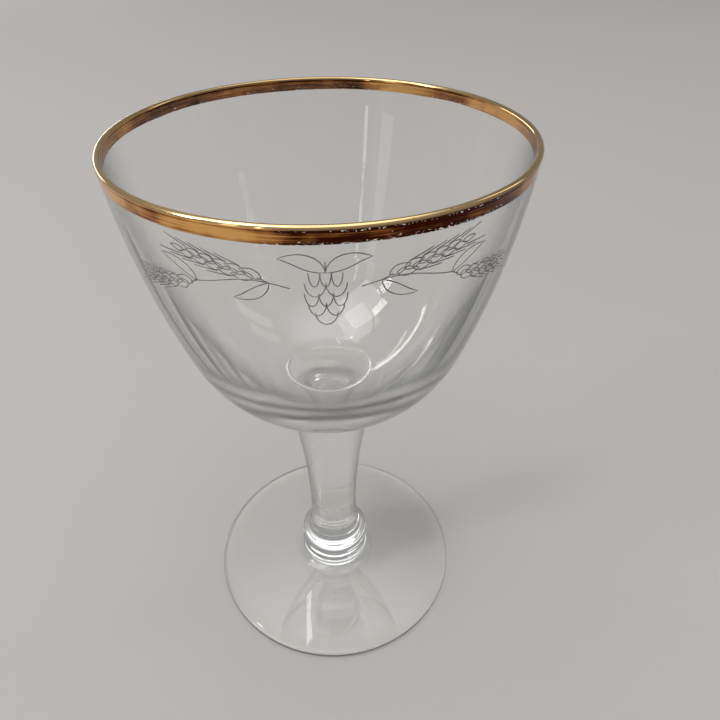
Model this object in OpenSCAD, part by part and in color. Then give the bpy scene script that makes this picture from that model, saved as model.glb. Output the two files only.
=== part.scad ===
// Chalice beer glass: a deep round bowl on a short solid stem and a flat disc foot,
// with a gilded lip.
//
// The glass is made from three gathers of clear soda-lime glass that are joined hot.
// The seams are flat faces: the bowl sits on the wide top of the stem, and the collar
// at the bottom of the stem sits on the raised centre of the foot. The gilding is a
// fired film that wraps the lip, seated in a shallow rebate so that it lies flush.
//
// The origin is the centre of the standing ring, and +Z is the axis of the glass.

/* [Overall] */
// Height from the table to the top of the lip
height = 162; // [150:0.5:175]
// Outside diameter at the lip
rim_d = 100; // [95:0.5:106]

/* [Bowl] */
// Height of the lip above the lowest point of the bowl's round base
bowl_depth = 81.1; // [76:0.1:84]
// Outside radius of the bowl's round base
base_r = 41.2; // [39:0.1:43]
// Inside radius of the bowl's round base
base_in_r = 39.2; // [36:0.1:41]
// Glass between the drink and the lowest point of the round base
floor_t = 7.2; // [4:0.1:8.5]
// Thickness of the wall at the lip
lip_t = 1.5; // [1.2:0.05:2.5]
// Outward lean of the wall at the lip, in degrees
lip_lean = 5.1; // [3:0.1:7]
// Radius of the fillet between the bowl and the stem
bowl_fillet_r = 6.5; // [3:0.1:8]

/* [Gilding] */
// Depth of the gilded band on the outside, from the top of the lip
gilt_h = 3.5; // [2:0.1:8]
// Depth of the gilding on the inside, from the lower end of the lip's round
gilt_in_h = 0.4; // [0.2:0.1:1.5]
// Thickness of the gilding
gilt_t = 0.12; // [0.08:0.01:0.25]
// Gap between the gilding and the glass under it
gilt_gap = 0.005; // [0.005:0.005:0.02]

/* [Stem] */
// Radius of the stem at its waist
waist_r = 8.1; // [7:0.1:9]
// Height of the middle of the waist
waist_z = 30; // [28.5:0.1:38]
// Radius at which the stem's fillet meets the round base of the bowl
neck_r = 17.2; // [16:0.1:18.5]
// Radius of the short curve by which the stem widens towards its collar
flare_r = 16; // [10:0.1:17]
// Largest radius of the collar at the bottom of the stem
collar_r = 12; // [10.5:0.1:13]
// Radius of the round of the collar
collar_round_r = 6.5; // [4:0.1:7.5]
// Angle by which the collar turns in under its widest point, in degrees
collar_tuck = 12; // [5:1:35]

/* [Foot] */
// Diameter of the foot
foot_d = 87; // [78:0.5:96]
// Thickness of the foot's rounded edge
edge_t = 2.1; // [1.6:0.1:3.6]
// Rise of the foot's upper face from the edge to the centre, in degrees
foot_slope = 5.5; // [3:0.1:8]
// Height of the seam on the foot's raised centre
foot_seam_z = 12; // [10.5:0.1:13]
// Radius of the round of the raised centre
boss_round_r = 6; // [3.5:0.1:8]
// Radius of the fillet between the raised centre and the foot's upper face
foot_fillet_r = 3.5; // [1.5:0.1:5]
// Width of the flat ring on which the glass stands
stand_w = 3.8; // [2:0.1:8]
// Rise of the hollow under the foot
hollow_h = 1.4; // [0.5:0.1:2.2]

/* [Hidden] */

// Turning facets, and the steps of the outlines' short and long arcs in degrees
$fn = 96;
ROUND_STEP = 15;
ARC_STEP = 4;
CURVE_STEP = 1.5;

GLASS = [0.80, 0.86, 0.87, 0.45];
STEM_GLASS = [0.74, 0.82, 0.84, 0.5];
FOOT_GLASS = [0.70, 0.79, 0.82, 0.5];
GOLD = [0.80, 0.60, 0.25];

// ---- outlines, as points [radius, height] ----

// Points along an arc, from angle a to angle b
function arc(centre, r, a, b, step) =
    let (n = max(1, ceil(abs(b - a) / step)))
    [for (i = [0:n]) let (t = a + (b - a) * i / n) centre + r * [cos(t), sin(t)]];

// Direction of a vector, in degrees
function heading(v) = atan2(v[1], v[0]);

// The lip is a half round whose two ends lean with the wall
lip_r = lip_t / 2;
lip_c = [rim_d / 2 - lip_r, height - lip_r];
lip_out = -lip_lean;
lip_in = 180 - lip_lean;
lean = [cos(lip_out), sin(lip_out)];

// Each face of the bowl is a round base, and one arc that leaves it without a corner
// and ends at the lip with the lean of the wall
function wall_r(base_c, r, end) =
    let (q = end - base_c)
    (q * q - r ^ 2) / (2 * (q * lean - r));
function wall_c(end, r) = end - r * lean;

out_end = lip_c + lip_r * lean;
out_base_c = [0, height - bowl_depth + base_r];
out_wall_r = wall_r(out_base_c, base_r, out_end);
out_wall_c = wall_c(out_end, out_wall_r);
out_turn = heading(out_base_c - out_wall_c);

in_end = lip_c - lip_r * lean;
in_base_c = [0, height - bowl_depth + floor_t + base_in_r];
in_wall_r = wall_r(in_base_c, base_in_r, in_end);
in_wall_c = wall_c(in_end, in_wall_r);
in_turn = heading(in_base_c - in_wall_c);

// Where the gilding starts, as angles on the two walls
gilt_out = asin((height - gilt_h - out_wall_c[1]) / out_wall_r);
gilt_in = asin((in_end[1] - gilt_in_h - in_wall_c[1]) / in_wall_r);

// The path over the lip, at a depth d under the surface
function over_lip(d) = concat(
    arc(out_wall_c, out_wall_r - d, gilt_out, lip_out, CURVE_STEP),
    arc(lip_c, lip_r - d, lip_out, lip_in, ROUND_STEP),
    arc(in_wall_c, in_wall_r + d, lip_out, gilt_in, CURVE_STEP)
);

// The fillet under the bowl, the long curve that widens from the waist and runs into the
// fillet without a corner, and the seam between them
fillet_end = asin(neck_r / base_r) - 90;
fillet_c = out_base_c + (base_r + bowl_fillet_r) * [cos(fillet_end), sin(fillet_end)];
rise = fillet_c - [waist_r, waist_z];
stem_curve_r = (rise * rise - bowl_fillet_r ^ 2) / (2 * (rise[0] - bowl_fillet_r));
stem_c = [waist_r + stem_curve_r, waist_z];
bowl_seam_a = heading(fillet_c - stem_c);
bowl_seam = stem_c + stem_curve_r * [cos(bowl_seam_a), sin(bowl_seam_a)];

// The collar at the bottom of the stem, and the short curve that leads into it
collar_c = [collar_r - collar_round_r, foot_seam_z + collar_round_r * sin(collar_tuck)];
flare_turn = acos((waist_r + flare_r - collar_c[0]) / (collar_round_r + flare_r));
flare_c = collar_c + (collar_round_r + flare_r) * [cos(flare_turn), sin(flare_turn)];
foot_seam = collar_c + collar_round_r * [cos(collar_tuck), -sin(collar_tuck)];

// The foot: its rounded edge, sloping face, fillet and raised centre
edge_r = edge_t / 2;
edge_c = [foot_d / 2 - edge_r, edge_r];
up = [sin(foot_slope), cos(foot_slope)];
out = [cos(foot_slope), -sin(foot_slope)];
boss_c = foot_seam - boss_round_r * [cos(collar_tuck), sin(collar_tuck)];
above_boss = (edge_c + edge_r * up - boss_c) * up + foot_fillet_r;
foot_fillet_c = boss_c + above_boss * up
    + sqrt((boss_round_r + foot_fillet_r) ^ 2 - above_boss ^ 2) * out;
boss_turn = heading(foot_fillet_c - boss_c);

// The hollow under the foot is part of a large sphere
stand_in_r = foot_d / 2 - edge_r - stand_w;
hollow_r = (stand_in_r ^ 2 + hollow_h ^ 2) / (2 * hollow_h);
hollow_a = asin(stand_in_r / hollow_r);
HOLLOW_STEP = 0.5;

// ---- sub-parts ----

module bowl() {
    color(GLASS)
        rotate_extrude()
            polygon(concat(
                [[0, bowl_seam[1]]],
                arc(fillet_c, bowl_fillet_r, bowl_seam_a, fillet_end + 180, ROUND_STEP),
                arc(out_base_c, base_r, fillet_end, out_turn, ARC_STEP),
                arc(out_wall_c, out_wall_r, out_turn, gilt_out, CURVE_STEP),
                over_lip(gilt_t + gilt_gap),
                arc(in_wall_c, in_wall_r, gilt_in, in_turn, CURVE_STEP),
                arc(in_base_c, base_in_r, in_turn, -90, ARC_STEP)
            ));
}

module stem() {
    color(STEM_GLASS)
        rotate_extrude()
            polygon(concat(
                [[0, foot_seam_z]],
                arc(collar_c, collar_round_r, -collar_tuck, flare_turn, ARC_STEP),
                arc(flare_c, flare_r, 180 + flare_turn, 180, ARC_STEP),
                arc(stem_c, stem_curve_r, 180, bowl_seam_a, CURVE_STEP),
                [[0, bowl_seam[1]]]
            ));
}

module foot() {
    color(FOOT_GLASS)
        rotate_extrude()
            polygon(concat(
                arc([0, hollow_h - hollow_r], hollow_r, 90, 90 - hollow_a, HOLLOW_STEP),
                arc(edge_c, edge_r, -90, 90 - foot_slope, ROUND_STEP),
                arc(foot_fillet_c, foot_fillet_r, 270 - foot_slope, 180 + boss_turn, ARC_STEP),
                arc(boss_c, boss_round_r, boss_turn, collar_tuck, ARC_STEP),
                [[0, foot_seam_z]]
            ));
}

module rim_gilding() {
    inner = over_lip(gilt_t);
    color(GOLD)
        rotate_extrude()
            polygon(concat(
                over_lip(0),
                [for (i = [len(inner) - 1:-1:0]) inner[i]]
            ));
}

bowl();
stem();
foot();
rim_gilding();
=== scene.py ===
"""A stemmed chalice beer glass: a clear bowl, stem and foot, a gilded lip and a printed garland of barley.

Every object is in metres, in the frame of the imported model. +Z is the axis of the glass, and the origin is
the centre of the ring on which it stands. Outlines are points (radius, height) in millimetres, which are
turned about that axis.
"""

from __future__ import annotations

import logging
import math
from collections.abc import Iterable, Sequence
from dataclasses import dataclass
from enum import Enum

import bmesh
import bpy
from mathutils import Matrix, Vector, noise


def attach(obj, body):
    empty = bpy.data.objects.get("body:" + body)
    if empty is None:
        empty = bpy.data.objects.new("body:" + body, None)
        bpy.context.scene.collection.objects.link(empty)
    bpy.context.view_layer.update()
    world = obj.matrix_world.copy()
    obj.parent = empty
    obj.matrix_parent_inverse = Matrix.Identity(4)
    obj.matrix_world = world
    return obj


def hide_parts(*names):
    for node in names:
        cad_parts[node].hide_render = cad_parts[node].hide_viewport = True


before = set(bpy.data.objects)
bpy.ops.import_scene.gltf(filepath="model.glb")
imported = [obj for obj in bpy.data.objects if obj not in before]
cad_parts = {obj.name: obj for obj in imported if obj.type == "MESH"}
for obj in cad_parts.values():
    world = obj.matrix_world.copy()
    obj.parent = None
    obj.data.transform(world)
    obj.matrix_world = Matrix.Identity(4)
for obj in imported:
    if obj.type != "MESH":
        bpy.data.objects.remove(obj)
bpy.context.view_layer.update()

log = logging.getLogger("chalice")

MM = 0.001
BODY = "root"

# How often a sector is doubled to make a whole round
DOUBLINGS = 4

# Points of an outline that are closer than this, in millimetres, are one point
SAME_POINT = 1e-6


class Slot(Enum):
    """The record's material slots."""

    GLASS = "clear_glass"
    GOLD = "gold"


class Face(Enum):
    """Which finish a face of a glass piece takes, as the index of its material."""

    POLISHED = 0
    SEAM = 1


# ---- small tools ----


def linear(code: str) -> tuple[float, float, float, float]:
    """Turns an sRGB colour into Blender's linear values.

    Args:
        code: The colour as "#rrggbb".

    Returns:
        Red, green, blue and an alpha of 1.
    """
    shares = [int(code[i : i + 2], 16) / 255 for i in (1, 3, 5)]
    red, green, blue = (
        s / 12.92 if s <= 0.04045 else ((s + 0.055) / 1.055) ** 2.4 for s in shares
    )
    return red, green, blue, 1.0


def add_node(
    tree: bpy.types.NodeTree,
    kind: str,
    inputs: dict[str | int, object] | None = None,
    stops: Sequence[tuple[float, str | float]] = (),
    **settings: object,
) -> bpy.types.Node:
    """Adds one node to a tree.

    Args:
        tree: The tree of a material or a world.
        kind: The node's type.
        inputs: What each input gets, by name or number: the output that feeds it, or a constant.
        stops: For a ramp, each stop's place with its sRGB colour or its grey value.
        **settings: The node's own properties.

    Returns:
        The node.
    """
    node = tree.nodes.new(kind)
    for name, value in settings.items():
        setattr(node, name, value)
    for key, value in (inputs or {}).items():
        if isinstance(value, bpy.types.NodeSocket):
            tree.links.new(value, node.inputs[key])
        else:
            node.inputs[key].default_value = value
    for number, (place, tone) in enumerate(stops):
        elements = node.color_ramp.elements
        element = elements[number] if number < 2 else elements.new(place)
        element.position = place
        element.color = linear(tone) if isinstance(tone, str) else (tone, tone, tone, 1.0)
    return node


def new_material(name: str) -> tuple[bpy.types.Material, bpy.types.NodeTree]:
    """Makes a material with an empty tree.

    Args:
        name: What the material is.

    Returns:
        The material and its tree.
    """
    material = bpy.data.materials.new(name)
    material.use_nodes = True
    material.node_tree.nodes.clear()
    return material, material.node_tree


@dataclass(frozen=True)
class Circle:
    """A circle in the plane of an outline, in millimetres."""

    centre: Vector
    radius: float

    def at(self, angle: float, depth: float = 0.0) -> Vector:
        """The point at an angle, moved towards the centre by depth."""
        return self.centre + (self.radius - depth) * Vector((math.cos(angle), math.sin(angle)))

    def run(self, start: float, end: float, step: float, depth: float = 0.0) -> list[Vector]:
        """Points along an arc.

        Args:
            start: Angle of the first point.
            end: Angle of the last point.
            step: Longest distance between two points.
            depth: How far the arc is moved towards the centre.

        Returns:
            The points, both ends among them.
        """
        count = max(2, math.ceil(abs(end - start) * self.radius / step))
        return [self.at(start + (end - start) * i / count, depth) for i in range(count + 1)]

    def angle_of(self, point: Vector) -> float:
        """The angle at which a point lies, seen from the centre."""
        return math.atan2(point.y - self.centre.y, point.x - self.centre.x)


def joined(*runs: Iterable[Vector]) -> list[Vector]:
    """Chains runs of points, with the doubles between them left out."""
    points: list[Vector] = []
    for point in (p for run in runs for p in run):
        if not points or (point - points[-1]).length > SAME_POINT:
            points.append(point)
    return points


def turned(
    name: str, outline: Sequence[Vector], closed: bool = False, turns: int = 256
) -> bmesh.types.BMesh:
    """Turns an outline about the axis of the glass: a sector is spun, and doubled until the round is whole.

    Args:
        name: What is turned, for the log.
        outline: Points (radius, height) in millimetres.
        closed: Whether the last point is joined to the first.
        turns: Faces round the axis, a multiple of the number of sectors.

    Returns:
        The turned shape in metres, closed, with its faces outwards.
    """
    bm = bmesh.new()
    line = [bm.verts.new((p.x * MM, 0, p.y * MM)) for p in outline]
    ends = zip(line, [*line[1:], line[0]] if closed else line[1:])
    geometry = [*line, *(bm.edges.new(pair) for pair in ends)]
    sector = math.tau / 2**DOUBLINGS
    steps = turns // 2**DOUBLINGS
    bmesh.ops.spin(bm, geom=geometry, cent=(0, 0, 0), axis=(0, 0, 1), angle=sector, steps=steps)
    for fold in range(DOUBLINGS):
        copy = bmesh.ops.duplicate(bm, geom=[*bm.verts, *bm.edges, *bm.faces])["geom"]
        moved = [part for part in copy if isinstance(part, bmesh.types.BMVert)]
        onward = Matrix.Rotation(sector * 2**fold, 3, "Z")
        bmesh.ops.rotate(bm, cent=(0, 0, 0), matrix=onward, verts=moved)
    bmesh.ops.remove_doubles(bm, verts=bm.verts, dist=1e-7)
    bmesh.ops.recalc_face_normals(bm, faces=bm.faces)
    open_edges = sum(not e.is_manifold for e in bm.edges)
    log.info("%s: %d faces turned, %d open edges", name, len(bm.faces), open_edges)
    return bm


def piece_from(
    name: str, bm: bmesh.types.BMesh, materials: Sequence[bpy.types.Material]
) -> bpy.types.Object:
    """Makes a smooth-shaded object from a finished bmesh, and lets it ride on the glass's body.

    Args:
        name: The piece's name.
        bm: Its shape, which is freed.
        materials: Its finishes, in the order of its faces' material numbers.

    Returns:
        The object, at the origin.
    """
    for f in bm.faces:
        f.smooth = True
    for e in bm.edges:
        e.smooth = len({f.material_index for f in e.link_faces}) == 1
    mesh = bpy.data.meshes.new(name)
    bm.to_mesh(mesh)
    bm.free()
    for material in materials:
        mesh.materials.append(material)
    piece = bpy.data.objects.new(name, mesh)
    bpy.context.scene.collection.objects.link(piece)
    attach(piece, BODY)
    return piece


def mark_seams(bm: bmesh.types.BMesh, *heights: float) -> None:
    """Gives the flat faces at these heights, in millimetres, to the seam.

    Args:
        bm: A turned glass piece.
        *heights: Where it meets its neighbours.
    """
    for f in bm.faces:
        z = f.calc_center_median().z
        if abs(f.normal.z) > 0.999 and any(abs(z - h * MM) < 1e-6 for h in heights):
            f.material_index = Face.SEAM.value


# ---- finishes ----


@dataclass(frozen=True)
class SodaLimeGlass:
    """Clear soda-lime glass, blown in a mould and fire-polished.

    To the eye it is colourless in the middle. Along its outlines, where the surface is seen edge-on, it has
    a painted grey shade, lightest near the lip where the wall is thin. Light that stays in the thick base of
    the bowl through several reflections is tinted with painted light and dark bands, and in the wall above
    the base with painted dark upright streaks. Its skin is glossy but not quite even: it has low waves that
    run down the bowl.
    """

    name: str
    face: str = "#fcfcfb"
    # Painted grey shade along the outlines, where the surface is seen edge-on: its colour in the thick base,
    # and near the lip
    edge: str = "#5c605e"
    thin_wall_painted_edge_shade: str = "#8e9290"
    # Where the painted outline shade starts and where it is full, by the Layer Weight's facing value
    painted_edge_shade_from: float = 0.5
    painted_edge_shade_full: float = 0.92
    # Painted light and dark bands by height, on light that leaves the thick base after several reflections
    painted_bands: tuple[tuple[float, str], ...] = (
        (0.0, "#a5a8a6"), (0.04, "#f9faf9"), (0.09, "#9fa2a0"), (0.14, "#fbfcfb"),
        (0.2, "#a7aaa8"), (0.27, "#f6f7f6"), (0.36, "#bec1bf"), (0.48, "#e6e8e7"), (1.0, "#eceeed"),
    )
    thick_from_mm: float = 80.0
    thin_from_mm: float = 140.0
    # Painted dark streaks in the wall above the base
    painted_streak_shade: str = "#a9acaa"
    streak_dark_to: float = 0.42
    streak_clear_from: float = 0.54
    streak_detail: float = 3.0
    streak_roughness: float = 0.6
    streaks_round: float = 16.0
    streaks_from_mm: float = 96.0
    streaks_full_mm: float = 112.0
    shade: str = "#e9eae9"
    shade_edge: str = "#6e7170"
    ior: float = 1.515
    wave_mm: float = 9.0
    wave_stretch: float = 5.0
    wave_rise_mm: float = 0.012
    wave_detail: float = 1.5
    wave_roughness: float = 0.4
    last_reflection: float = 2.5

    def skin(self, tree: bpy.types.NodeTree, place: bpy.types.NodeSocket) -> bpy.types.NodeSocket:
        """Gives the surface its low waves.

        Args:
            tree: The material's tree.
            place: Where a point lies on the glass.

        Returns:
            The normal of the waved surface.
        """
        scale = 1 / (self.wave_mm * MM)
        waves = add_node(
            tree,
            "ShaderNodeMapping",
            {"Scale": (scale, scale, scale / self.wave_stretch), "Vector": place},
        )
        height = add_node(
            tree,
            "ShaderNodeTexNoise",
            {
                "Scale": 1.0,
                "Detail": self.wave_detail,
                "Roughness": self.wave_roughness,
                "Vector": waves.outputs["Vector"],
            },
        )
        bump = add_node(
            tree,
            "ShaderNodeBump",
            {"Strength": 1.0, "Distance": self.wave_rise_mm * MM, "Height": height.outputs["Fac"]},
        )
        return bump.outputs["Normal"]

    def tints(
        self, tree: bpy.types.NodeTree, thinning: bpy.types.NodeSocket
    ) -> Iterable[bpy.types.NodeSocket]:
        """Makes the two tints that grow darker towards the outlines: a painted shade on the glass, and the
        tint of the light in its shadow.

        Args:
            tree: The material's tree.
            thinning: How thin the wall is, from 0 in the base to 1 near the lip.

        Returns:
            The tint of the glass, and that of the light in its shadow.
        """
        # Painted grey shade along the outlines, lighter near the lip
        edge = add_node(
            tree,
            "ShaderNodeMix",
            {"A": linear(self.edge), "B": linear(self.thin_wall_painted_edge_shade), "Factor": thinning},
            data_type="RGBA",
        )
        slant = add_node(tree, "ShaderNodeLayerWeight", {"Blend": 0.5})
        outline = add_node(
            tree,
            "ShaderNodeMapRange",
            {"Value": slant.outputs["Facing"], "From Min": self.painted_edge_shade_from, "From Max": self.painted_edge_shade_full},
            interpolation_type="SMOOTHSTEP",
        )
        return (
            add_node(
                tree,
                "ShaderNodeMix",
                {"A": linear(middle), "B": rim, "Factor": outline.outputs["Result"]},
                data_type="RGBA",
            ).outputs["Result"]
            for middle, rim in (
                (self.face, edge.outputs["Result"]),
                (self.shade, linear(self.shade_edge)),
            )
        )

    def painted_bands_and_streaks(
        self,
        tree: bpy.types.NodeTree,
        place: bpy.types.NodeSocket,
        thinning: bpy.types.NodeSocket,
        above_base: bpy.types.NodeSocket,
    ) -> bpy.types.NodeSocket:
        """Makes the tint of light that leaves the glass after several reflections: painted light and dark
        bands in the base, and painted dark streaks above it.

        Args:
            tree: The material's tree.
            place: Where a point lies on the glass.
            thinning: How thin the wall is, from 0 in the base to 1 near the lip.
            above_base: How far the streaks are there, from 0 to 1.

        Returns:
            The tint.
        """
        bands = add_node(tree, "ShaderNodeValToRGB", {"Fac": thinning}, stops=self.painted_bands)
        flat = add_node(tree, "ShaderNodeMapping", {"Vector": place, "Scale": (1, 1, 0)})
        way = add_node(
            tree, "ShaderNodeVectorMath", {0: flat.outputs["Vector"]}, operation="NORMALIZE"
        )
        rays = add_node(
            tree,
            "ShaderNodeTexNoise",
            {
                "Vector": way.outputs["Vector"],
                "Scale": self.streaks_round,
                "Detail": self.streak_detail,
                "Roughness": self.streak_roughness,
            },
        )
        streaks = add_node(
            tree,
            "ShaderNodeValToRGB",
            {"Fac": rays.outputs["Fac"]},
            stops=[(self.streak_dark_to, self.painted_streak_shade), (self.streak_clear_from, 1.0)],
        )
        streaked = add_node(
            tree,
            "ShaderNodeMix",
            {"A": bands.outputs["Color"], "B": streaks.outputs["Color"], "Factor": above_base},
            data_type="RGBA",
            blend_type="MULTIPLY",
        )
        return streaked.outputs["Result"]

    def material(self) -> bpy.types.Material:
        """Makes the glass.

        Light that has been reflected inside the glass more often than last_reflection leaves it straight,
        and so do rays from the lamps, so that thick glass stays clear and throws a light shadow.

        Returns:
            The material.
        """
        material, tree = new_material(self.name)
        place = add_node(tree, "ShaderNodeTexCoord").outputs["Object"]
        level = add_node(tree, "ShaderNodeSeparateXYZ", {"Vector": place})
        thinning, above_base = (
            add_node(
                tree,
                "ShaderNodeMapRange",
                {"Value": level.outputs["Z"], "From Min": low * MM, "From Max": high * MM},
            ).outputs["Result"]
            for low, high in (
                (self.thick_from_mm, self.thin_from_mm),
                (self.streaks_from_mm, self.streaks_full_mm),
            )
        )
        tint, shade = self.tints(tree, thinning)
        glass = add_node(
            tree,
            "ShaderNodeBsdfPrincipled",
            {
                "Base Color": tint,
                "Roughness": 0.0,
                "IOR": self.ior,
                "Transmission Weight": 1.0,
                "Normal": self.skin(tree, place),
            },
        )
        path = add_node(tree, "ShaderNodeLightPath")
        in_shadow = path.outputs["Is Shadow Ray"]
        spent = add_node(
            tree,
            "ShaderNodeMath",
            {0: path.outputs["Glossy Depth"], 1: self.last_reflection},
            operation="GREATER_THAN",
        )
        straight = add_node(
            tree, "ShaderNodeMath", {0: spent.outputs[0], 1: in_shadow}, operation="MAXIMUM"
        )
        # A ray is tinted only where it first leaves straight
        leaving = add_node(
            tree, "ShaderNodeMath", {0: path.outputs["Transparent Depth"], 1: 0.5}, operation="GREATER_THAN"
        )
        # Light that leaves straight after several reflections takes the painted bands and streaks
        freed = add_node(
            tree,
            "ShaderNodeMix",
            {
                "A": self.painted_bands_and_streaks(tree, place, thinning, above_base),
                "B": (1, 1, 1, 1),
                "Factor": leaving.outputs[0],
            },
            data_type="RGBA",
        )
        passing = add_node(
            tree,
            "ShaderNodeMix",
            {"A": freed.outputs["Result"], "B": shade, "Factor": in_shadow},
            data_type="RGBA",
        )
        clear = add_node(tree, "ShaderNodeBsdfTransparent", {"Color": passing.outputs["Result"]})
        mix = add_node(
            tree,
            "ShaderNodeMixShader",
            {0: straight.outputs[0], 1: glass.outputs[0], 2: clear.outputs[0]},
        )
        add_node(tree, "ShaderNodeOutputMaterial", {"Surface": mix.outputs[0]})
        return material


@dataclass(frozen=True)
class HotSeam:
    """Where two gathers of glass were fused hot. Nothing shows there, so light passes it unchanged."""

    name: str = "fused_seam"

    def material(self) -> bpy.types.Material:
        """Makes the unseen face between two fused pieces."""
        material, tree = new_material(self.name)
        clear = add_node(tree, "ShaderNodeBsdfTransparent", {"Color": (1, 1, 1, 1)})
        add_node(tree, "ShaderNodeOutputMaterial", {"Surface": clear.outputs[0]})
        return material


@dataclass(frozen=True)
class FiredGold:
    """Liquid bright gold, banded on with a brush and fired.

    To the eye it is a mirror of warm gold, palest on the crest of the lip; the crest's brightness changes
    round the lip as a painted reflection. Below the crest it shows fine brush lines, and it is dark brown
    for long stretches, most of all on the front right: partly thin film, and partly a painted dark
    reflection of the room.
    It is worn through to the glass in small flecks on the shoulder under the crest and along its lower edge.
    """

    crest: float
    band_h: float
    name: str = "fired_bright_gold"
    on_crest: str = "#efcb93"
    full: str = "#f4bb70"
    middling: str = "#b8783f"
    # Dark brown of thin film, which also serves as a painted dark reflection of the room
    thin: str = "#401509"
    # Shares by angle, in degrees from the front, -Y, towards the right, +X. The film's shares are partly its
    # thickness and partly a painted dark reflection, darkest on the front right. The crest's shares are a
    # painted reflection.
    thickness: tuple[tuple[float, float], ...] = (
        (-52, 0.85), (-40, 0.35), (-30, 1.0), (-16, 0.9), (-6, 0.1), (44, 0.0), (54, 0.6),
        (120, 1.0), (131, 0.2), (150, 1.05), (172, 0.2), (212, 0.45), (232, 0.1), (255, 0.55),
    )
    crest_painted_reflection: tuple[tuple[float, float], ...] = (
        (-90, 0.7), (-60, 0.85), (-35, 1.0), (15, 1.0), (50, 0.62), (90, 0.66), (125, 0.85),
        (160, 0.6), (215, 0.55), (268, 0.7),
    )
    # By height on the band, from its lower edge at 0 to the crest at 1: what the film must reach to look
    # full, and how readily it is rubbed off
    shoulder: tuple[tuple[float, float], ...] = (
        (0.0, 1.65), (0.15, 1.5), (0.6, 1.42), (0.72, 1.95), (0.8, 1.5),
    )
    rubbed: tuple[tuple[float, float], ...] = (
        (0.0, 1.0), (0.1, 0.86), (0.3, 0.6), (0.6, 0.5), (0.7, 1.0), (0.8, 0.6),
    )
    crest_from: float = 0.77
    crest_full: float = 0.88
    middling_at: float = 0.5
    full_at: float = 0.95
    cloud_gain: float = 1.5
    cloud_detail: float = 2.0
    cloud_roughness: float = 0.6
    brush_mm: float = 0.3
    brush_run_mm: float = 18.0
    brush_low: float = 0.3
    brush_high: float = 0.7
    brush_bump: float = 0.6
    brush_rise_mm: float = 0.004
    patch_mm: float = 7.0
    fleck_mm: float = 0.7
    fleck_h_mm: float = 0.35
    flecks_thin: float = 0.47
    flecks_full: float = 0.3
    glossy: float = 0.06
    dull: float = 0.2

    def material(self) -> bpy.types.Material:
        """Makes the gold.

        Returns:
            The material.
        """
        material, tree = new_material(self.name)
        place = add_node(tree, "ShaderNodeTexCoord").outputs["Object"]
        level = add_node(tree, "ShaderNodeSeparateXYZ", {"Vector": place})
        across = add_node(
            tree,
            "ShaderNodeMapRange",
            {
                "Value": level.outputs["Z"],
                "From Min": (self.crest - self.band_h) * MM,
                "From Max": self.crest * MM,
            },
        ).outputs["Result"]
        around = add_node(tree, "ShaderNodeTexGradient", {"Vector": place}, gradient_type="RADIAL")
        # By angle: the film's share, partly thickness and partly a painted dark reflection, and the crest's
        # painted reflection
        film_and_painted_reflection, tone = (
            add_node(
                tree,
                "ShaderNodeValToRGB",
                {"Fac": around.outputs["Fac"]},
                stops=[((angle + 90) / 360, share) for angle, share in by_angle],
            ).outputs["Color"]
            for by_angle in (self.thickness, self.crest_painted_reflection)
        )
        clouds = []
        for along_mm, across_mm in (
            (self.brush_run_mm, self.brush_mm),
            (self.patch_mm, self.patch_mm),
            (self.fleck_mm, self.fleck_h_mm),
        ):
            along = 1 / (along_mm * MM)
            spots = add_node(
                tree, "ShaderNodeMapping", {"Vector": place, "Scale": (along, along, 1 / (across_mm * MM))}
            )
            cloud = add_node(
                tree,
                "ShaderNodeTexNoise",
                {
                    "Vector": spots.outputs["Vector"],
                    "Scale": 1.0,
                    "Detail": self.cloud_detail,
                    "Roughness": self.cloud_roughness,
                },
            )
            clouds.append(cloud.outputs["Fac"])
        brush, patches, flecks = clouds
        uneven = add_node(tree, "ShaderNodeMath", {0: brush, 1: patches}, operation="ADD")
        film = add_node(
            tree,
            "ShaderNodeMath",
            {0: uneven.outputs[0], 1: self.cloud_gain, 2: film_and_painted_reflection},
            operation="MULTIPLY_ADD",
        )
        shoulder, rubbed = (
            add_node(tree, "ShaderNodeValToRGB", {"Fac": across}, stops=stops).outputs["Color"]
            for stops in (self.shoulder, self.rubbed)
        )
        left = add_node(tree, "ShaderNodeMath", {0: film.outputs[0], 1: shoulder}, operation="SUBTRACT")
        below = add_node(
            # Thin film and the painted dark reflection both turn the gold dark brown
            tree,
            "ShaderNodeValToRGB",
            {"Fac": left.outputs[0]},
            stops=[(0.0, self.thin), (self.middling_at, self.middling), (self.full_at, self.full)],
        ).outputs["Color"]
        on_crest = add_node(
            tree,
            "ShaderNodeValToRGB",
            {"Fac": across},
            stops=[(self.crest_from, 0.0), (self.crest_full, 1.0)],
        ).outputs["Color"]
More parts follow.
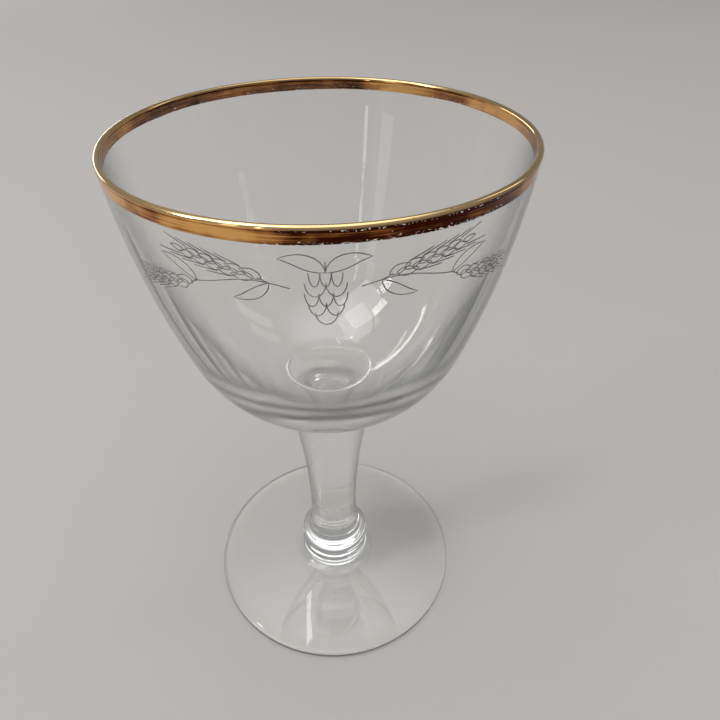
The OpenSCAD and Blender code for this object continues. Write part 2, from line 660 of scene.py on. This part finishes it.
        # The crest's pale colour is darkened by angle as a painted reflection
        crest = add_node(
            tree,
            "ShaderNodeMix",
            {"A": tone, "B": linear(self.on_crest), "Factor": 1.0},
            data_type="RGBA",
            blend_type="MULTIPLY",
        )
        colour = add_node(
            tree,
            "ShaderNodeMix",
            {"A": below, "B": crest.outputs["Result"], "Factor": on_crest},
            data_type="RGBA",
        )
        gloss = add_node(
            tree,
            "ShaderNodeMapRange",
            {
                "Value": brush,
                "From Min": self.brush_low,
                "From Max": self.brush_high,
                "To Min": self.glossy,
                "To Max": self.dull,
            },
        )
        bump = add_node(
            tree,
            "ShaderNodeBump",
            {"Height": brush, "Strength": self.brush_bump, "Distance": self.brush_rise_mm * MM},
        )
        gold = add_node(
            tree,
            "ShaderNodeBsdfPrincipled",
            {
                "Base Color": colour.outputs["Result"],
                "Metallic": 1.0,
                "Roughness": gloss.outputs["Result"],
                "Normal": bump.outputs["Normal"],
            },
        )
        thinner = add_node(
            tree,
            "ShaderNodeMapRange",
            {"Value": film_and_painted_reflection, "To Min": self.flecks_thin, "To Max": self.flecks_full},
        )
        limit = add_node(
            tree, "ShaderNodeMath", {0: rubbed, 1: thinner.outputs["Result"]}, operation="MULTIPLY"
        )
        worn = add_node(tree, "ShaderNodeMath", {0: flecks, 1: limit.outputs[0]}, operation="LESS_THAN")
        clear = add_node(tree, "ShaderNodeBsdfTransparent")
        mix = add_node(
            tree, "ShaderNodeMixShader", {0: worn.outputs[0], 1: gold.outputs[0], 2: clear.outputs[0]}
        )
        add_node(tree, "ShaderNodeOutputMaterial", {"Surface": mix.outputs[0]})
        return material


@dataclass(frozen=True)
class GlassEnamel:
    """Grey ceramic enamel, screen-printed on the outside of the bowl and fired.

    To the eye it is a matt, mid-grey line that the dishwasher has thinned in places.
    """

    name: str = "grey_print_enamel"
    full: str = "#6d6967"
    faded: str = "#a29d9a"
    full_to: float = 0.38
    faded_from: float = 0.66
    fade_mm: float = 5.0
    fade_detail: float = 4.0
    fade_roughness: float = 0.7
    roughness: float = 0.55

    def material(self) -> bpy.types.Material:
        """Makes the print.

        Returns:
            The material.
        """
        material, tree = new_material(self.name)
        place = add_node(tree, "ShaderNodeTexCoord").outputs["Object"]
        fading = add_node(
            tree,
            "ShaderNodeTexNoise",
            {
                "Vector": place,
                "Scale": 1 / (self.fade_mm * MM),
                "Detail": self.fade_detail,
                "Roughness": self.fade_roughness,
            },
        )
        colour = add_node(
            tree,
            "ShaderNodeValToRGB",
            {"Fac": fading.outputs["Fac"]},
            stops=[(self.full_to, self.full), (self.faded_from, self.faded)],
        ).outputs["Color"]
        enamel = add_node(
            tree, "ShaderNodeBsdfPrincipled", {"Base Color": colour, "Roughness": self.roughness}
        )
        add_node(tree, "ShaderNodeOutputMaterial", {"Surface": enamel.outputs[0]})
        return material


@dataclass(frozen=True)
class StudioPaper:
    """Matt paper for the floor and the backdrop: one pale tone with no gloss."""

    name: str
    colour: str
    roughness: float = 0.9
    specular: float = 0.1

    def material(self) -> bpy.types.Material:
        """Makes the paper."""
        material, tree = new_material(self.name)
        paper = add_node(
            tree,
            "ShaderNodeBsdfPrincipled",
            {
                "Base Color": linear(self.colour),
                "Roughness": self.roughness,
                "Specular IOR Level": self.specular,
            },
        )
        add_node(tree, "ShaderNodeOutputMaterial", {"Surface": paper.outputs[0]})
        return material


# ---- the glass ----


@dataclass(frozen=True)
class Bowl:
    """The bowl: a round base, a wall that leaves it as one arc, and a round lip.

    Its sizes are in millimetres and degrees, as are those of every piece of the glass.
    """

    height: float = 162.0
    rim_d: float = 100.0
    depth: float = 81.1
    base_r: float = 41.2
    base_in_r: float = 39.2
    floor_t: float = 7.2
    lip_t: float = 1.5
    lip_lean: float = 5.1
    neck_r: float = 17.2
    fillet_r: float = 6.5
    gilt_h: float = 3.5
    gilt_in_h: float = 0.4
    gilt_seat: float = 0.04
    step: float = 1.1
    fine_step: float = 0.12

    @property
    def lean(self) -> float:
        """Angle at which the outer wall meets the lip."""
        return -math.radians(self.lip_lean)

    @property
    def lip(self) -> Circle:
        """The half round of the lip."""
        radius = self.lip_t / 2
        return Circle(Vector((self.rim_d / 2 - radius, self.height - radius)), radius)

    @property
    def out_base(self) -> Circle:
        """The round base, outside."""
        return Circle(Vector((0, self.height - self.depth + self.base_r)), self.base_r)

    @property
    def in_base(self) -> Circle:
        """The round base, inside."""
        floor = self.height - self.depth + self.floor_t
        return Circle(Vector((0, floor + self.base_in_r)), self.base_in_r)

    def wall(self, base: Circle, end: Vector) -> Circle:
        """The arc that leaves a round base without a corner and ends at the lip with its lean.

        Args:
            base: The round base.
            end: Where the arc meets the lip.

        Returns:
            The arc's circle.
        """
        out = Vector((math.cos(self.lean), math.sin(self.lean)))
        reach = end - base.centre
        radius = (reach.dot(reach) - base.radius**2) / (2 * (reach.dot(out) - base.radius))
        return Circle(end - radius * out, radius)

    @property
    def out_wall(self) -> Circle:
        """The wall, outside."""
        return self.wall(self.out_base, self.lip.at(self.lean))

    @property
    def in_wall(self) -> Circle:
        """The wall, inside."""
        return self.wall(self.in_base, self.lip.at(self.lean + math.pi))

    @property
    def fillet(self) -> Circle:
        """The fillet between the round base and the stem."""
        angle = math.asin(self.neck_r / self.base_r) - math.pi / 2
        return Circle(self.out_base.at(angle, -self.fillet_r), self.fillet_r)

    @property
    def glass_out_wall(self) -> Circle:
        """The outer wall as the glass has it: it runs up under the gilding, without a step below it."""
        return self.wall(self.out_base, self.lip.at(self.lean, self.gilt_seat))

    @property
    def glass_in_wall(self) -> Circle:
        """The inner wall as the glass has it."""
        return self.wall(self.in_base, self.lip.at(self.lean + math.pi, self.gilt_seat))

    def wall_radius(self, height: float) -> float:
        """Radius of the glass's outer wall at a height above the table."""
        wall = self.glass_out_wall
        return wall.centre.x + math.sqrt(wall.radius**2 - (height - wall.centre.y) ** 2)

    def over_lip(self, depth: float) -> list[Vector]:
        """The outline over the lip where the gilding lies, from the outside to the inside.

        Args:
            depth: How far under the surface it runs.

        Returns:
            The points.
        """
        out_start = math.asin((self.height - self.gilt_h - self.out_wall.centre.y) / self.out_wall.radius)
        in_level = self.lip.at(self.lean + math.pi).y - self.gilt_in_h
        in_end = math.asin((in_level - self.in_wall.centre.y) / self.in_wall.radius)
        return joined(
            self.out_wall.run(out_start, self.lean, self.fine_step, depth),
            self.lip.run(self.lean, self.lean + math.pi, self.fine_step, depth),
            self.in_wall.run(self.lean, in_end, self.fine_step, -depth),
        )

    def outline(self, seam: float, seam_angle: float) -> list[Vector]:
        """The bowl's whole outline.

        Args:
            seam: Height of the flat seam on the stem.
            seam_angle: Angle on the fillet at which the seam lies.

        Returns:
            The points, from the seam on the axis, up the outside and down the inside to the axis.
        """
        out_wall, in_wall = self.glass_out_wall, self.glass_in_wall
        out_turn = out_wall.angle_of(self.out_base.centre)
        in_turn = in_wall.angle_of(self.in_base.centre)
        neck = self.out_base.angle_of(self.fillet.centre)
        return joined(
            [Vector((0, seam))],
            self.fillet.run(seam_angle, neck + math.pi, self.fine_step * 2),
            self.out_base.run(neck, out_turn, self.step),
            out_wall.run(out_turn, self.lean, self.step),
            self.lip.run(self.lean, self.lean + math.pi, self.fine_step, self.gilt_seat),
            in_wall.run(self.lean, in_turn, self.step),
            self.in_base.run(in_turn, -math.pi / 2, self.step),
        )

    def build(self, stem: Stem, glass: bpy.types.Material, seam: bpy.types.Material) -> bpy.types.Object:
        """Makes the bowl.

        Args:
            stem: The stem that carries it.
            glass: Its finish.
            seam: The finish of its fused face.

        Returns:
            The piece.
        """
        bm = turned("bowl", self.outline(stem.top.y, stem.top_angle))
        mark_seams(bm, stem.top.y)
        piece = piece_from("bowl_glass", bm, [glass, seam])
        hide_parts("bowl")
        return piece


@dataclass(frozen=True)
class Stem:
    """The solid stem: it widens from its waist up to the bowl, and down to a collar."""

    bowl: Bowl
    waist_r: float = 8.1
    waist_z: float = 30.0
    flare_r: float = 16.0
    collar_r: float = 12.0
    collar_round_r: float = 6.5
    collar_tuck: float = 12.0
    foot_seam_z: float = 12.0
    step: float = 0.7

    @property
    def long_curve(self) -> Circle:
        """The long curve from the waist up to the bowl's fillet, which it meets without a corner."""
        fillet = self.bowl.fillet
        rise = fillet.centre - Vector((self.waist_r, self.waist_z))
        radius = (rise.dot(rise) - fillet.radius**2) / (2 * (rise.x - fillet.radius))
        return Circle(Vector((self.waist_r + radius, self.waist_z)), radius)

    @property
    def top_angle(self) -> float:
        """Angle on the long curve, and on the fillet, at which the bowl's seam lies."""
        return self.long_curve.angle_of(self.bowl.fillet.centre)

    @property
    def top(self) -> Vector:
        """The edge of the seam under the bowl."""
        return self.long_curve.at(self.top_angle)

    @property
    def collar(self) -> Circle:
        """The round of the collar."""
        tuck = math.radians(self.collar_tuck)
        height = self.foot_seam_z + self.collar_round_r * math.sin(tuck)
        return Circle(Vector((self.collar_r - self.collar_round_r, height)), self.collar_round_r)

    @property
    def flare_turn(self) -> float:
        """Angle on the collar at which the flare above it starts."""
        reach = self.waist_r + self.flare_r - self.collar.centre.x
        return math.acos(reach / (self.collar_round_r + self.flare_r))

    def build(self, glass: bpy.types.Material, seam: bpy.types.Material) -> bpy.types.Object:
        """Makes the stem.

        Args:
            glass: Its finish.
            seam: The finish of its two fused faces.

        Returns:
            The piece.
        """
        tuck, turn = -math.radians(self.collar_tuck), self.flare_turn
        flare = Circle(self.collar.at(turn, -self.flare_r), self.flare_r)
        outline = joined(
            [Vector((0, self.foot_seam_z))],
            self.collar.run(tuck, turn, self.step / 2),
            flare.run(math.pi + turn, math.pi, self.step / 2),
            self.long_curve.run(math.pi, self.top_angle, self.step),
            [Vector((0, self.top.y))],
        )
        bm = turned("stem", outline, turns=192)
        mark_seams(bm, self.foot_seam_z, self.top.y)
        piece = piece_from("stem_glass", bm, [glass, seam])
        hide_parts("stem")
        return piece


@dataclass(frozen=True)
class Foot:
    """The disc foot: a raised centre, a sloping face, a rounded edge and a shallow hollow underneath."""

    stem: Stem
    diameter: float = 87.0
    edge_t: float = 2.1
    slope: float = 5.5
    boss_round_r: float = 6.0
    fillet_r: float = 3.5
    stand_w: float = 3.8
    hollow_h: float = 1.4
    step: float = 0.9
    fine_step: float = 0.2

    def outline(self) -> list[Vector]:
        """The foot's whole outline.

        Returns:
            The points, from the hollow on the axis, round the edge and up to the seam on the axis.
        """
        slope, tuck = math.radians(self.slope), math.radians(self.stem.collar_tuck)
        up = Vector((math.sin(slope), math.cos(slope)))
        out = Vector((math.cos(slope), -math.sin(slope)))
        edge_r = self.edge_t / 2
        edge = Circle(Vector((self.diameter / 2 - edge_r, edge_r)), edge_r)
        seam = self.stem.collar.at(-tuck)
        boss = Circle(
            seam - self.boss_round_r * Vector((math.cos(tuck), math.sin(tuck))), self.boss_round_r
        )
        above = (edge.at(math.pi / 2 - slope) - boss.centre).dot(up) + self.fillet_r
        aside = math.sqrt((self.boss_round_r + self.fillet_r) ** 2 - above**2)
        fillet = Circle(boss.centre + above * up + aside * out, self.fillet_r)
        turn = boss.angle_of(fillet.centre)
        ring_in = self.diameter / 2 - edge_r - self.stand_w
        hollow_r = (ring_in**2 + self.hollow_h**2) / (2 * self.hollow_h)
        hollow = Circle(Vector((0, self.hollow_h - hollow_r)), hollow_r)
        face = [edge.at(math.pi / 2 - slope), fillet.at(1.5 * math.pi - slope)]
        count = math.ceil((face[1] - face[0]).length / self.step)
        return joined(
            hollow.run(math.pi / 2, math.pi / 2 - math.asin(ring_in / hollow_r), self.step),
            edge.run(-math.pi / 2, math.pi / 2 - slope, self.fine_step),
            [face[0].lerp(face[1], i / count) for i in range(count + 1)],
            fillet.run(1.5 * math.pi - slope, math.pi + turn, self.fine_step),
            boss.run(turn, tuck, self.fine_step),
            [Vector((0, self.stem.foot_seam_z))],
        )

    def build(self, glass: bpy.types.Material, seam: bpy.types.Material) -> bpy.types.Object:
        """Makes the foot.

        Args:
            glass: Its finish.
            seam: The finish of its fused face.

        Returns:
            The piece.
        """
        bm = turned("foot", self.outline())
        mark_seams(bm, self.stem.foot_seam_z)
        piece = piece_from("foot_glass", bm, [glass, seam])
        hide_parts("foot")
        return piece


@dataclass(frozen=True)
class Gilding:
    """The gold film over the lip. Its lower edge wavers a little, as the brush left it."""

    bowl: Bowl
    under_surface: float = 0.01
    film_t: float = 0.05
    waver: float = 0.14
    waver_mm: float = 4.0
    waver_h: float = 1.2

    def build(self) -> bpy.types.Object:
        """Makes the gilding.

        Returns:
            The piece.
        """
        outer = self.bowl.over_lip(self.under_surface)
        inner = self.bowl.over_lip(self.under_surface + self.film_t)
        bm = turned("gilding", [*outer, *reversed(inner)], closed=True, turns=384)
        lower_edge = self.bowl.height - self.bowl.gilt_h
        wall_r = self.bowl.lip.centre.x
        for v in bm.verts:
            radius = v.co.xy.length / MM
            below = max(0.0, min(1.0, (lower_edge + self.waver_h - v.co.z / MM) / self.waver_h))
            if radius > wall_r and below > 0:
                spot = v.co.xyz.normalized() * self.bowl.rim_d / 2 / self.waver_mm
                v.co.z += self.waver * MM * below * noise.noise(spot)
        gold = FiredGold(self.bowl.height, self.bowl.gilt_h).material()
        piece = piece_from("rim_gold", bm, [gold])
        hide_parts("rim_gilding")
        return piece


Stroke = list[Vector]


@dataclass(frozen=True)
class BarleyGarland:
    """A printed garland in thin grey lines: two branches of barley, with a hop cone hanging between them.

    It lies on the front of the bowl under the lip. It is drawn flat, where x runs along the wall and y runs
    up it, and then wrapped round the bowl.
    """

    bowl: Bowl
    middle_below_lip: float = 12.8
    line_w: float = 0.24
    print_t: float = 0.03
    sunk: float = 0.01
    branch_start: float = 6.5
    branch_end: float = 50.0
    wave_l: float = 28.0
    wave_h: float = 1.3
    ear_pitch: float = 15.0
    ear_rise: float = 13.0
    ear_root: tuple[float, float] = (2.0, 1.0)
    first_ear: float = 0.25
    bare_end: float = 1.6
    kernels: int = 5
    kernel_l: float = 4.4
    kernel_w: float = 2.0
    kernel_pitch: float = 2.9
    kernel_spread: float = 20.0
    kernel_taper: float = 0.3
    tip_l: float = 0.7
    tip_w: float = 0.6
    awn_l: float = 5.0
    leaf_l: float = 9.0
    leaf_w: float = 2.3
    leaf_turn: float = 50.0
    leaf_bend: float = 0.8
    leaf_parts: int = 9
    leaf_swell: float = 0.8
    cone_w: float = 8.0
    cone_h: float = 11.5
    cone_top: float = 3.5
    cone_rows: int = 5
    cone_swell: float = 0.8
    cone_swell_from: float = 0.18
    cone_swell_span: float = 0.74
    cone_leaf_turn: float = 48.0
    cone_leaf_bend: float = 0.9
    cone_leaf_wider: float = 1.3
    scale_overlap: float = 1.35
    scale_parts: int = 8

    def pointed(self, root: Vector, angle: float, length: float, width: float, bend: float) -> Stroke:
        """A pointed leaf or kernel, as a closed line.

        Args:
            root: Where it starts.
            angle: Its direction at the root, from straight up.
            length: Its length.
            width: Its greatest width.
            bend: How far it turns aside on its way.

        Returns:
            The points, with the first again at the end.
        """
        count = self.leaf_parts
        sides: dict[int, Stroke] = {-1: [], 1: []}
        spine = root.copy()
        for i in range(count + 1):
            share = i / count
            turn = angle + bend * share
            along = Vector((math.sin(turn), math.cos(turn)))
            half = width / 2 * math.sin(math.pi * share**self.leaf_swell)
            for side, line in sides.items():
                line.append(spine + side * half * Vector((along.y, -along.x)))
            spine += length / count * along
        return joined(sides[-1], reversed(sides[1]))

    def ear(self, root: Vector, lean: float) -> list[Stroke]:
        """A barley ear: two rows of kernels, each with its awn.

        Args:
            root: Its lower end.
            lean: Its direction from straight up.

        Returns:
            Its strokes.
        """
        along = Vector((math.sin(lean), math.cos(lean)))
        spread = math.radians(self.kernel_spread)
        strokes: list[Stroke] = []
        for i in range(self.kernels):
            size = 1 - self.kernel_taper * i / self.kernels
            for side in (-1, 1):
                start = root + self.kernel_pitch * (i + side / 4) * along
                turn = lean + side * spread
                strokes.append(
                    self.pointed(start, turn, self.kernel_l * size, self.kernel_w * size, -side * spread)
                )
                tip = start + self.kernel_l * size * Vector((math.sin(turn), math.cos(turn)))
                awn = Vector((math.sin(lean + side * spread / 2), math.cos(lean + side * spread / 2)))
                strokes.append([tip, tip + self.awn_l * awn])
        tip = root + self.kernel_pitch * self.kernels * along
        strokes.append(
            self.pointed(tip, lean, self.kernel_l * self.tip_l, self.kernel_w * self.tip_w, 0.0)
        )
        return strokes

    def branch(self, side: int) -> list[Stroke]:
        """One branch: a waving stalk with ears above and below it by turns, and a leaf across from each.

        Args:
            side: 1 for the branch that runs to the right, -1 for its mirror image.

        Returns:
            Its strokes.
        """

        def on_stalk(x: float) -> Vector:
            """The point of the waving stalk at x."""
            wave = self.wave_h * math.sin(2 * math.pi * (x - self.branch_start) / self.wave_l)
            return Vector((x, wave))

        last_root = self.branch_end - self.ear_pitch * self.bare_end
        steps = math.ceil(last_root - self.branch_start)
        span = last_root - self.branch_start
        strokes = [[on_stalk(self.branch_start + span * i / steps) for i in range(steps + 1)]]
        count = int(span // self.ear_pitch) + 1
        for i in range(count):
            above = 1 if i % 2 == 0 else -1
            root = on_stalk(self.branch_start + self.ear_pitch * (i + self.first_ear))
            lean = math.radians(90 - above * self.ear_rise)
            foot = root + Vector((self.ear_root[0], above * self.ear_root[1]))
            strokes += self.ear(foot, lean)
            strokes.append([root, foot])
            turn = math.radians(90 + above * self.leaf_turn)
            strokes.append(self.pointed(root, turn, self.leaf_l, self.leaf_w, -above * self.leaf_bend))
        return [[Vector((side * p.x, p.y)) for p in stroke] for stroke in strokes]

    def hop_cone(self, top: Vector) -> list[Stroke]:
        """A hop cone: rows of round scales that narrow to its tip, under two leaves.

        Args:
            top: Where it hangs.

        Returns:
            Its strokes.
        """
        strokes = [[top + Vector((0, self.leaf_w)), top]]
        for row in range(self.cone_rows):
            share = (row + 0.5) / self.cone_rows
            bulge = math.sin(math.pi * (self.cone_swell_from + self.cone_swell_span * share))
            width = self.cone_w * bulge**self.cone_swell
            scales = 3 if row % 2 == 0 else 2
            if row == self.cone_rows - 1:
                scales = 1
            drop = self.cone_h / self.cone_rows
            level = top.y - drop * row
            for k in range(scales):
                x = top.x + width * ((k + 0.5) / scales - 0.5)
                half = width / scales / 2
                sag = self.scale_overlap * drop
                arc = [math.pi + math.pi * j / self.scale_parts for j in range(self.scale_parts + 1)]
                strokes.append([Vector((x + half * math.cos(a), level + sag * math.sin(a))) for a in arc])
        turn, width = math.radians(self.cone_leaf_turn), self.leaf_w * self.cone_leaf_wider
        for side in (-1, 1):
            bend = side * self.cone_leaf_bend
            strokes.append(self.pointed(top, side * turn, self.leaf_l, width, bend))
        return strokes

    def wrapped(self, flat: Vector) -> Vector:
        """Where a point of the flat drawing lies on the bowl.

        Args:
            flat: Along the wall, up it, and out from it, in millimetres.

        Returns:
            The point in metres.
        """
        middle = self.bowl.height - self.middle_below_lip
        height = middle + flat.y
        angle = flat.x / self.bowl.wall_radius(middle)
        radius = self.bowl.wall_radius(height) + flat.z
        return Vector((radius * math.sin(angle), -radius * math.cos(angle), height)) * MM

    def build(self) -> bpy.types.Object:
        """Makes the garland: all its lines are one long strip, cut where one line ends and the next starts.

        Returns:
            The piece.
        """
        strokes = [*self.branch(-1), *self.branch(1), *self.hop_cone(Vector((0, self.cone_top)))]
        count = sum(len(stroke) for stroke in strokes)
        bm = bmesh.new()
        strip = bmesh.ops.create_grid(bm, x_segments=count - 1, y_segments=1, size=1)["verts"]
        last = 0
        for stroke in strokes:
            first, last = last, last + len(stroke)
            closed = (stroke[0] - stroke[-1]).length < SAME_POINT
            for i, point in enumerate(stroke):
                before = stroke[i - 1] if i else stroke[-2 if closed else 0]
                after = stroke[i + 1] if i + 1 < len(stroke) else stroke[1 if closed else -1]
                along = (after - before).normalized()
                across = Vector((along.y, -along.x)) * self.line_w / 2
                for side, row in ((1, 0), (-1, count)):
                    strip[row + first + i].co = (*(point + side * across), 0)
            if last < count:
                joint = [f for f in strip[last - 1].link_faces if f in strip[last].link_faces]
                bmesh.ops.delete(bm, geom=joint, context="FACES")
        bmesh.ops.recalc_face_normals(bm, faces=bm.faces)
        bmesh.ops.solidify(bm, geom=bm.faces[:], thickness=self.print_t)
        low = min(v.co.z for v in bm.verts)
        for v in bm.verts:
            v.co = self.wrapped(v.co - Vector((0, 0, low + self.sunk)))
        bmesh.ops.recalc_face_normals(bm, faces=bm.faces)
        log.info("garland: %d lines, %d faces", len(strokes), len(bm.faces))
        return piece_from("barley_print", bm, [GlassEnamel().material()])


# ---- the studio ----


@dataclass(frozen=True)
class PhotoCamera:
    """The camera as it stood for the photograph, found from the ellipses of the lip and the foot.

    Its place is in millimetres and its angles in radians.
    """

    back: float = 140.7878
    height: float = 205.7845
    yaw: float = 0.041
    pitch: float = 0.6648
    roll: float = -0.0117
    focal_px: float = 599.246
    right_px: float = -12.1511
    down_px: float = 2.9
    frame_px: float = 720.0
    sensor: float = 36.0

    def build(self) -> bpy.types.Object:
        """Makes the camera and gives it to the scene.

        Returns:
            The camera.
        """
        forward = Vector(
            (
                math.sin(self.yaw) * math.cos(self.pitch),
                math.cos(self.yaw) * math.cos(self.pitch),
                -math.sin(self.pitch),
            )
        )
        level = Vector((math.cos(self.yaw), -math.sin(self.yaw), 0))
        raised = level.cross(forward)
        right = math.cos(self.roll) * level + math.sin(self.roll) * raised
        up = -math.sin(self.roll) * level + math.cos(self.roll) * raised
        place = Vector((0, -self.back, self.height)) * MM
        data = bpy.data.cameras.new("photo_camera")
        data.sensor_width = self.sensor
        data.lens = self.focal_px / self.frame_px * self.sensor
        data.shift_x = -self.right_px / self.frame_px
        data.shift_y = -self.down_px / self.frame_px
        data.clip_start = 0.01
        camera = bpy.data.objects.new("photo_camera", data)
        columns = Matrix((right, up, -forward)).transposed().to_4x4()
        camera.matrix_world = Matrix.Translation(place) @ columns
        bpy.context.scene.collection.objects.link(camera)
        bpy.context.scene.camera = camera
        return camera


@dataclass(frozen=True)
class Softbox:
    """A rectangular lamp that faces the glass, in metres, degrees and watts.

    Its azimuth runs from +X towards +Y.
    """

    name: str
    azimuth: float
    elevation: float
    distance: float
    width: float
    height: float
    watts: float
    aim_height: float = 0.1
    colour: str = "#ffffff"

    def build(self) -> bpy.types.Object:
        """Makes the lamp."""
        around, above = math.radians(self.azimuth), math.radians(self.elevation)
        aim = Vector((0, 0, self.aim_height))
        away = Vector(
            (math.cos(above) * math.cos(around), math.cos(above) * math.sin(around), math.sin(above))
        )
        data = bpy.data.lights.new(self.name, "AREA")
        data.shape = "RECTANGLE"
        data.size, data.size_y = self.width, self.height
        data.energy = self.watts
        data.color = linear(self.colour)[:3]
        lamp = bpy.data.objects.new(self.name, data)
        lamp.location = aim + self.distance * away
        lamp.rotation_euler = (-away).to_track_quat("-Z", "Y").to_euler()
        bpy.context.scene.collection.objects.link(lamp)
        return lamp


@dataclass(frozen=True)
class Studio:
    """A pale floor, a window and soft sky on the left, narrow lamps, and a room that is bright overhead."""

    floor_colour: str = "#b4b1af"
    room_colour: str = "#ffffff"
    room_strength: float = 0.3
    zenith_strength: float = 1.9
    zenith_from: float = 0.74
    floor_gap: float = 0.2
    floor_r: float = 2.4
    lamps: tuple[Softbox, ...] = (
        Softbox("window", 197, 34, 1.6, 0.22, 0.46, 4.2),
        Softbox("soft_sky", 200, 58, 1.8, 1.1, 1.1, 10.5),
        Softbox("low_strip", 125, 7, 3.0, 2.2, 0.24, 13.2),
        Softbox("side_window", 240, 12, 2.6, 0.1, 1.1, 1.3),
        Softbox("side_curtain", 226, 12, 2.6, 0.34, 1.1, 1.5),
        Softbox("fill", 20, 30, 1.8, 0.3, 1.0, 1.5),
        Softbox("ceiling_lamp", 109.5, 68.5, 1.6, 0.026, 0.2, 0.1),
        Softbox("far_ceiling_lamp", 131, 65, 1.6, 0.05, 0.05, 0.14),
    )

    def floor(self) -> bpy.types.Object:
        """Makes the floor.

        Returns:
            The floor, which is no part of the glass.
        """
        bm = bmesh.new()
        bmesh.ops.create_circle(bm, cap_ends=True, segments=96, radius=self.floor_r)
        bmesh.ops.translate(bm, vec=(0, 0, -self.floor_gap * MM), verts=bm.verts)
        mesh = bpy.data.meshes.new("studio_floor")
        bm.to_mesh(mesh)
        bm.free()
        mesh.materials.append(StudioPaper("pale_paper", self.floor_colour).material())
        floor = bpy.data.objects.new("studio_floor", mesh)
        bpy.context.scene.collection.objects.link(floor)
        return floor

    def room(self) -> None:
        """Fills the world with the dim light of the room, which grows brighter overhead."""
        world = bpy.data.worlds.new("dim_room")
        world.use_nodes = True
        tree = world.node_tree
        place = add_node(tree, "ShaderNodeTexCoord")
        upward = add_node(tree, "ShaderNodeSeparateXYZ", {"Vector": place.outputs["Generated"]})
        glow = add_node(
            tree,
            "ShaderNodeMapRange",
            {
                "Value": upward.outputs["Z"],
                "From Min": self.zenith_from,
                "From Max": 1.0,
                "To Min": self.room_strength,
                "To Max": self.zenith_strength,
            },
            interpolation_type="SMOOTHSTEP",
        )
        background = tree.nodes["Background"]
        background.inputs["Color"].default_value = linear(self.room_colour)
        tree.links.new(glow.outputs["Result"], background.inputs["Strength"])
        bpy.context.scene.world = world

    def build(self) -> None:
        """Makes the whole studio."""
        self.floor()
        self.room()
        for lamp in self.lamps:
            lamp.build()
        bpy.context.scene.view_settings.view_transform = "Standard"


def report(pieces: Sequence[bpy.types.Object]) -> None:
    """Logs each piece and its size.

    Args:
        pieces: The pieces of the glass.
    """
    for piece in pieces:
        span = ", ".join(f"{d / MM:.2f}" for d in piece.dimensions)
        log.info("%s: %d polygons, %s mm", piece.name, len(piece.data.polygons), span)


def main() -> None:
    """Builds the camera, the glass and the studio."""
    logging.basicConfig(level=logging.INFO, format="%(name)s: %(message)s")
    PhotoCamera().build()
    blown = SodaLimeGlass("blown_glass").material()
    # The stem's painted outline shade and the tint of its shadow are darker
    solid = SodaLimeGlass("solid_glass", edge="#565a58", shade="#a9abaa", shade_edge="#5c5f5e").material()
    seam = HotSeam().material()
    bowl = Bowl()
    stem = Stem(bowl)
    report(
        [
            bowl.build(stem, blown, seam),
            stem.build(solid, seam),
            Foot(stem).build(blown, seam),
            Gilding(bowl).build(),
            BarleyGarland(bowl).build(),
        ]
    )
    Studio().build()


if __name__ == "__main__":
    main()
